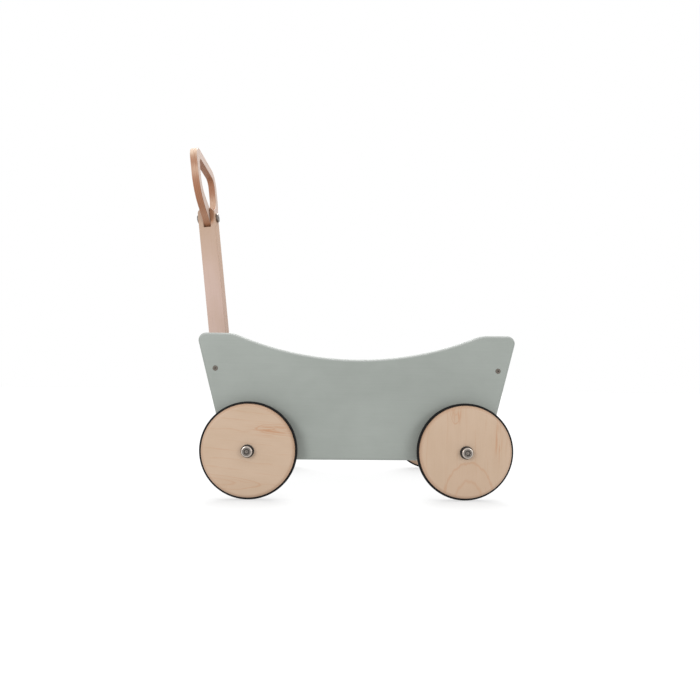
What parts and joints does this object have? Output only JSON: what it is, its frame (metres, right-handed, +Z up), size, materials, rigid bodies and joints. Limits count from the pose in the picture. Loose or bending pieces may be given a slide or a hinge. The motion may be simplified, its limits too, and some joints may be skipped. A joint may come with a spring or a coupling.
{
  "type": "pull-along wagon",
  "caption": "Toy wagon with a scooped painted plywood tray on plywood wheels with rubber tyres, pulled by a swinging wooden arm that ends in a plywood grip ring.",
  "frame": {"origin": "on the ground, midway between the axles and between the two sides", "axes": "+Z up, -X towards the pull arm at the front, -Y to the wagon's left"},
  "size_m": [0.5406, 0.3324, 0.5862],
  "materials": {
    "sage_paint": "satin sage green paint on plywood",
    "plywood": "clear matt lacquer on birch plywood",
    "timber": "clear matt lacquer on pale hardwood",
    "tyre_rubber": "matt black rubber",
    "steel": "turned bright steel",
    "dark_steel": "dulled zinc-plated steel",
    "black_nylon": "moulded black nylon",
    "white_nylon": "moulded natural nylon"
  },
  "bodies": {
    "tray": {"left_side_panel": "sage_paint", "right_side_panel": "sage_paint", "front_panel": "sage_paint", "rear_panel": "sage_paint", "floor_panel": "sage_paint", "left_side_screws": "dark_steel", "right_side_screws": "dark_steel", "front_axle": "steel", "rear_axle": "steel", "axle_bush_front_left": "white_nylon", "axle_bush_front_right": "white_nylon", "axle_bush_rear_left": "white_nylon", "axle_bush_rear_right": "white_nylon", "thrust_washer_front_left": "steel", "thrust_washer_front_right": "steel", "thrust_washer_rear_left": "steel", "thrust_washer_rear_right": "steel", "axle_collar_front_left": "steel", "axle_collar_front_right": "steel", "axle_collar_rear_left": "steel", "axle_collar_rear_right": "steel", "collar_grub_screws": "dark_steel", "left_bracket": "timber", "right_bracket": "timber", "bracket_screws": "dark_steel", "pivot_bolt": "steel", "pivot_sleeve": "steel", "pivot_washers": "black_nylon"},
    "wheel_front_left": {"wheel_disc_front_left": "plywood", "tyre_front_left": "tyre_rubber", "wheel_bush_front_left": "black_nylon"},
    "wheel_front_right": {"wheel_disc_front_right": "plywood", "tyre_front_right": "tyre_rubber", "wheel_bush_front_right": "black_nylon"},
    "wheel_rear_left": {"wheel_disc_rear_left": "plywood", "tyre_rear_left": "tyre_rubber", "wheel_bush_rear_left": "black_nylon"},
    "wheel_rear_right": {"wheel_disc_rear_right": "plywood", "tyre_rear_right": "tyre_rubber", "wheel_bush_rear_right": "black_nylon"},
    "pull_arm": {"pull_arm": "timber", "ring_bolt": "steel", "ring_sleeve": "steel"},
    "grip_ring": {"grip_ring": "plywood"}
  },
  "joints": [
    {"name": "front_left_roll", "type": "hinge", "parent": "tray", "child": "wheel_front_left", "pos_m": [-0.16675, -0.1489, 0.075], "axis": [0, 1, 0], "continuous": true},
    {"name": "front_right_roll", "type": "hinge", "parent": "tray", "child": "wheel_front_right", "pos_m": [-0.16675, 0.1489, 0.075], "axis": [0, 1, 0], "continuous": true},
    {"name": "rear_left_roll", "type": "hinge", "parent": "tray", "child": "wheel_rear_left", "pos_m": [0.16675, -0.1489, 0.075], "axis": [0, 1, 0], "continuous": true},
    {"name": "rear_right_roll", "type": "hinge", "parent": "tray", "child": "wheel_rear_right", "pos_m": [0.16675, 0.1489, 0.075], "axis": [0, 1, 0], "continuous": true},
    {"name": "arm_swing", "type": "hinge", "parent": "tray", "child": "pull_arm", "pos_m": [-0.23197, 0, 0.11115], "axis": [0, -1, 0], "range_deg": [0, 95]},
    {"name": "ring_swivel", "type": "hinge", "parent": "pull_arm", "child": "grip_ring", "pos_m": [-0.27065, 0, 0.47912], "axis": [0.9945, 0, 0.1045], "range_deg": [-35, 35]}
  ]
}
